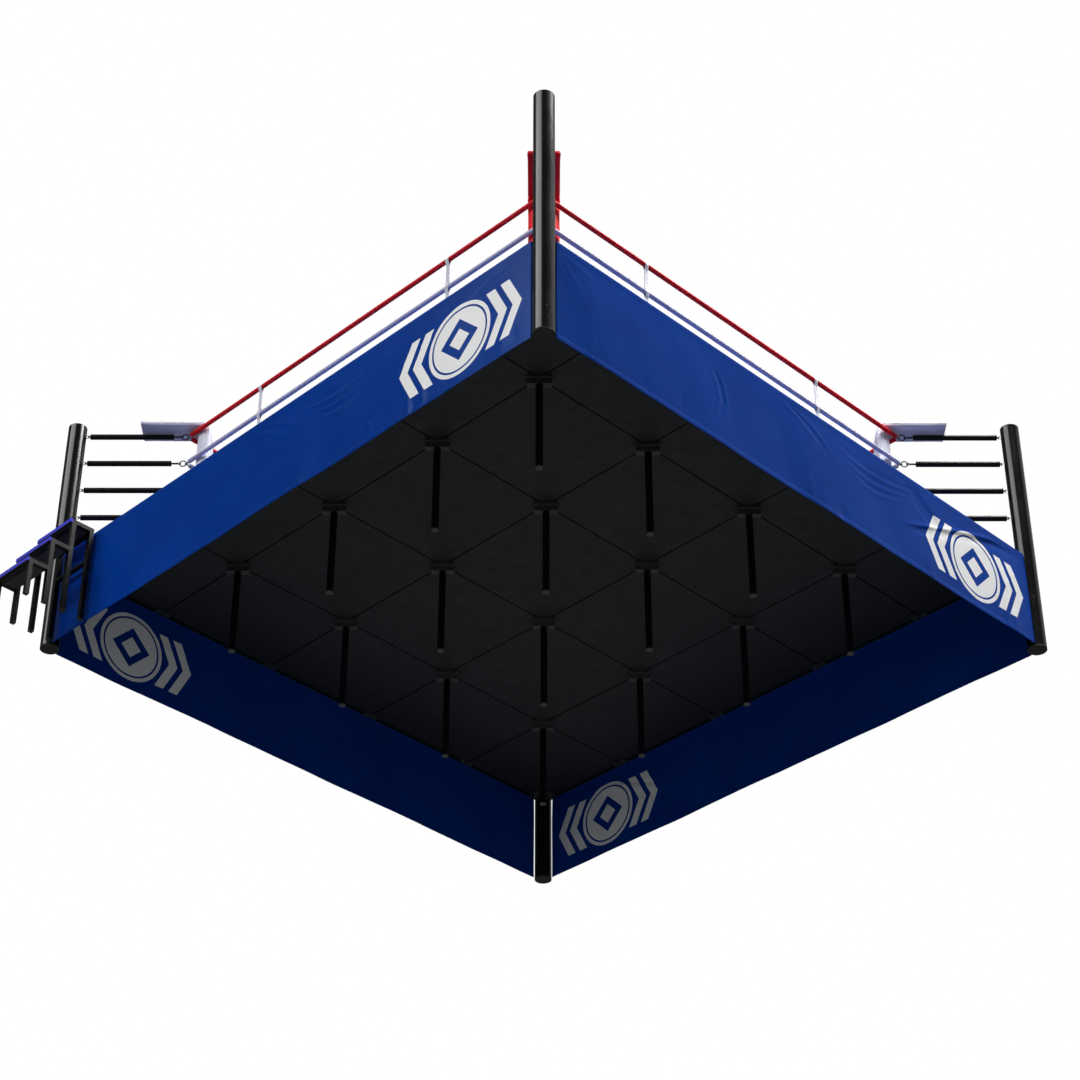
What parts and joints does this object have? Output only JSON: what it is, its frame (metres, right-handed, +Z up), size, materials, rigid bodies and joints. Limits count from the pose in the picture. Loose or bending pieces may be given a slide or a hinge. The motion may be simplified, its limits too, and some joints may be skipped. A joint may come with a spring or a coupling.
{
  "type": "boxing ring",
  "caption": "Square raised boxing ring with corner posts, padded ropes, turnbuckles, corner pads, blue skirts, legs under the deck and a small set of corner steps.",
  "frame": {"origin": "bottom centre of the whole object on the floor, the steps included; the ring's own centre is 0.3045 m towards +X", "axes": "+Z up; +X along one pair of ring sides, away from the steps; +Y along the other pair, towards the corner beside the steps"},
  "size_m": [6.777, 6.1676, 2.384],
  "materials": {
    "post_black": "gloss black powder coat",
    "foot_rubber": "matt rubber",
    "foot_cap": "pale grey moulded cap",
    "deck_board": "dark phenolic film faced plywood",
    "frame_black": "satin black powder coat",
    "zinc_steel": "zinc plated",
    "ring_black": "black coated bar",
    "foam": "closed cell foam mat",
    "canvas_blue": "woven canvas",
    "skirt_blue": "coated polyester skirt cloth",
    "rope_red": "satin vinyl rope cover",
    "rope_white": "satin vinyl rope cover",
    "rope_blue": "satin vinyl rope cover",
    "webbing_white": "woven webbing",
    "sleeve_black": "black vinyl padded sleeve",
    "pad_red": "synthetic leather over foam",
    "pad_blue": "synthetic leather over foam",
    "pad_white": "synthetic leather over foam",
    "tread_blue": "blue carpet faced board"
  },
  "bodies": {
    "ring": {"post_red": "post_black", "post_white_east": "post_black", "post_blue": "post_black", "post_white_west": "post_black", "post_caps": "post_black", "post_feet": "foot_rubber", "deck_row_1": "deck_board", "deck_row_2": "deck_board", "deck_row_3": "deck_board", "deck_row_4": "deck_board", "deck_row_5": "deck_board", "edge_rails": "frame_black", "corner_brackets": "frame_black", "edge_brackets": "frame_black", "bracket_bolts": "zinc_steel", "legs": "frame_black", "leg_feet": "foot_cap", "leg_heads": "frame_black", "head_plates": "frame_black", "foam_mat": "foam", "canvas": "canvas_blue", "skirt_west": "skirt_blue", "skirt_south": "skirt_blue", "skirt_east": "skirt_blue", "skirt_north": "skirt_blue", "rope_level_1": "rope_white", "rope_level_2": "rope_blue", "rope_level_3": "rope_white", "rope_level_4": "rope_red", "rope_cores": "zinc_steel", "spacer_straps": "webbing_white", "post_loops": "zinc_steel", "corner_rings": "ring_black", "turnbuckle_screws": "zinc_steel", "turnbuckle_sleeves": "sleeve_black", "pad_red": "pad_red", "pad_white_east": "pad_white", "pad_blue": "pad_blue", "pad_white_west": "pad_white", "pad_ties": "webbing_white"},
    "turnbuckle_red_1": {"barrel_red_1": "zinc_steel"},
    "turnbuckle_red_2": {"barrel_red_2": "zinc_steel"},
    "turnbuckle_red_3": {"barrel_red_3": "zinc_steel"},
    "turnbuckle_red_4": {"barrel_red_4": "zinc_steel"},
    "turnbuckle_white_east_1": {"barrel_white_east_1": "zinc_steel"},
    "turnbuckle_white_east_2": {"barrel_white_east_2": "zinc_steel"},
    "turnbuckle_white_east_3": {"barrel_white_east_3": "zinc_steel"},
    "turnbuckle_white_east_4": {"barrel_white_east_4": "zinc_steel"},
    "turnbuckle_blue_1": {"barrel_blue_1": "zinc_steel"},
    "turnbuckle_blue_2": {"barrel_blue_2": "zinc_steel"},
    "turnbuckle_blue_3": {"barrel_blue_3": "zinc_steel"},
    "turnbuckle_blue_4": {"barrel_blue_4": "zinc_steel"},
    "turnbuckle_white_west_1": {"barrel_white_west_1": "zinc_steel"},
    "turnbuckle_white_west_2": {"barrel_white_west_2": "zinc_steel"},
    "turnbuckle_white_west_3": {"barrel_white_west_3": "zinc_steel"},
    "turnbuckle_white_west_4": {"barrel_white_west_4": "zinc_steel"},
    "steps": {"steps_side_frames": "frame_black", "steps_feet": "foot_rubber", "steps_treads": "tread_blue", "steps_cross_bars": "frame_black"}
  },
  "joints": [
    {"name": "turn_red_1", "type": "hinge", "parent": "ring", "child": "turnbuckle_red_1", "pos_m": [-2.34195, -2.64645, 1.388], "axis": [0.7071, 0.7071, 0], "continuous": true},
    {"name": "turn_red_2", "type": "hinge", "parent": "ring", "child": "turnbuckle_red_2", "pos_m": [-2.34195, -2.64645, 1.688], "axis": [0.7071, 0.7071, 0], "continuous": true},
    {"name": "turn_red_3", "type": "hinge", "parent": "ring", "child": "turnbuckle_red_3", "pos_m": [-2.34195, -2.64645, 1.988], "axis": [0.7071, 0.7071, 0], "continuous": true},
    {"name": "turn_red_4", "type": "hinge", "parent": "ring", "child": "turnbuckle_red_4", "pos_m": [-2.34195, -2.64645, 2.288], "axis": [0.7071, 0.7071, 0], "continuous": true},
    {"name": "turn_white_east_1", "type": "hinge", "parent": "ring", "child": "turnbuckle_white_east_1", "pos_m": [2.95095, -2.64645, 1.388], "axis": [-0.7071, 0.7071, 0], "continuous": true},
    {"name": "turn_white_east_2", "type": "hinge", "parent": "ring", "child": "turnbuckle_white_east_2", "pos_m": [2.95095, -2.64645, 1.688], "axis": [-0.7071, 0.7071, 0], "continuous": true},
    {"name": "turn_white_east_3", "type": "hinge", "parent": "ring", "child": "turnbuckle_white_east_3", "pos_m": [2.95095, -2.64645, 1.988], "axis": [-0.7071, 0.7071, 0], "continuous": true},
    {"name": "turn_white_east_4", "type": "hinge", "parent": "ring", "child": "turnbuckle_white_east_4", "pos_m": [2.95095, -2.64645, 2.288], "axis": [-0.7071, 0.7071, 0], "continuous": true},
    {"name": "turn_blue_1", "type": "hinge", "parent": "ring", "child": "turnbuckle_blue_1", "pos_m": [2.95095, 2.64645, 1.388], "axis": [-0.7071, -0.7071, 0], "continuous": true},
    {"name": "turn_blue_2", "type": "hinge", "parent": "ring", "child": "turnbuckle_blue_2", "pos_m": [2.95095, 2.64645, 1.688], "axis": [-0.7071, -0.7071, 0], "continuous": true},
    {"name": "turn_blue_3", "type": "hinge", "parent": "ring", "child": "turnbuckle_blue_3", "pos_m": [2.95095, 2.64645, 1.988], "axis": [-0.7071, -0.7071, 0], "continuous": true},
    {"name": "turn_blue_4", "type": "hinge", "parent": "ring", "child": "turnbuckle_blue_4", "pos_m": [2.95095, 2.64645, 2.288], "axis": [-0.7071, -0.7071, 0], "continuous": true},
    {"name": "turn_white_west_1", "type": "hinge", "parent": "ring", "child": "turnbuckle_white_west_1", "pos_m": [-2.34195, 2.64645, 1.388], "axis": [0.7071, -0.7071, 0], "continuous": true},
    {"name": "turn_white_west_2", "type": "hinge", "parent": "ring", "child": "turnbuckle_white_west_2", "pos_m": [-2.34195, 2.64645, 1.688], "axis": [0.7071, -0.7071, 0], "continuous": true},
    {"name": "turn_white_west_3", "type": "hinge", "parent": "ring", "child": "turnbuckle_white_west_3", "pos_m": [-2.34195, 2.64645, 1.988], "axis": [0.7071, -0.7071, 0], "continuous": true},
    {"name": "turn_white_west_4", "type": "hinge", "parent": "ring", "child": "turnbuckle_white_west_4", "pos_m": [-2.34195, 2.64645, 2.288], "axis": [0.7071, -0.7071, 0], "continuous": true},
    {"name": "steps_pull", "type": "slide", "parent": "ring", "child": "steps", "axis": [-1, 0, 0], "range_m": [0, 0.5]}
  ]
}
